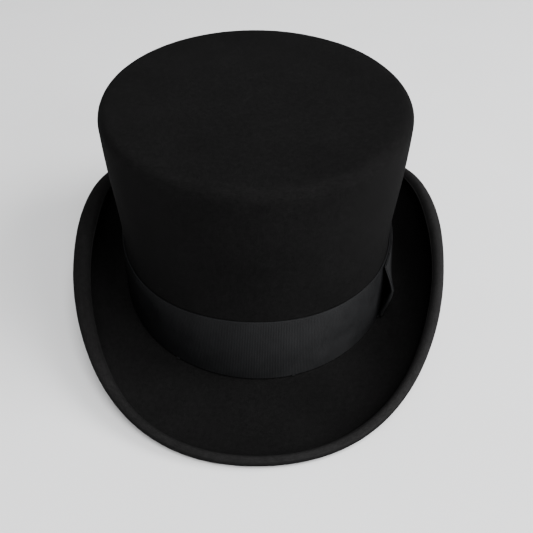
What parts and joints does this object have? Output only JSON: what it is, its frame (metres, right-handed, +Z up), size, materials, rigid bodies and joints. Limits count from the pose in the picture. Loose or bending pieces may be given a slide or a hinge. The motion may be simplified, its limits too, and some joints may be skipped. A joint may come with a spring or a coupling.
{
  "type": "top hat",
  "caption": "Black felt top hat: straight oval crown with a flat tip, ribbon and side bow, brim curled up at the sides with a rolled edge, sweatband and lining inside.",
  "frame": {"origin": "middle of the brim's outline, on the surface the hat stands on", "axes": "+Z up through the tip, -Y towards the front of the hat, +X towards the bow on the wearer's left"},
  "size_m": [0.2332, 0.3242, 0.1294],
  "materials": {
    "felt": "pressed wool felt, matt, fine fibres",
    "grosgrain": "ribbed grosgrain ribbon, soft sheen",
    "thread": "black sewing thread",
    "sweatband_leather": "thin smooth leather with a fine grain, satin",
    "reed_plastic": "flexible plastic reed",
    "cotton_tape": "woven cotton tape, matt",
    "small_ribbon": "narrow satin ribbon",
    "woven_tab": "plain woven tab, blank",
    "satin": "satin lining, glossy",
    "satin_piping": "satin-covered cord"
  },
  "bodies": {
    "root": {"felt_body": "felt", "band_ribbon": "grosgrain", "band_tacks": "thread", "bow_front_wing": "grosgrain", "bow_rear_wing": "grosgrain", "bow_knot": "grosgrain", "bow_tacks": "thread", "sweatband": "sweatband_leather", "sweatband_reed": "reed_plastic", "reed_tape": "cotton_tape", "sweatband_stitches": "thread", "back_seam_stitches": "thread", "sweatband_bow": "small_ribbon", "size_tab": "woven_tab", "lining_side": "satin", "lining_tip": "satin", "lining_piping": "satin_piping"}
  },
  "joints": []
}
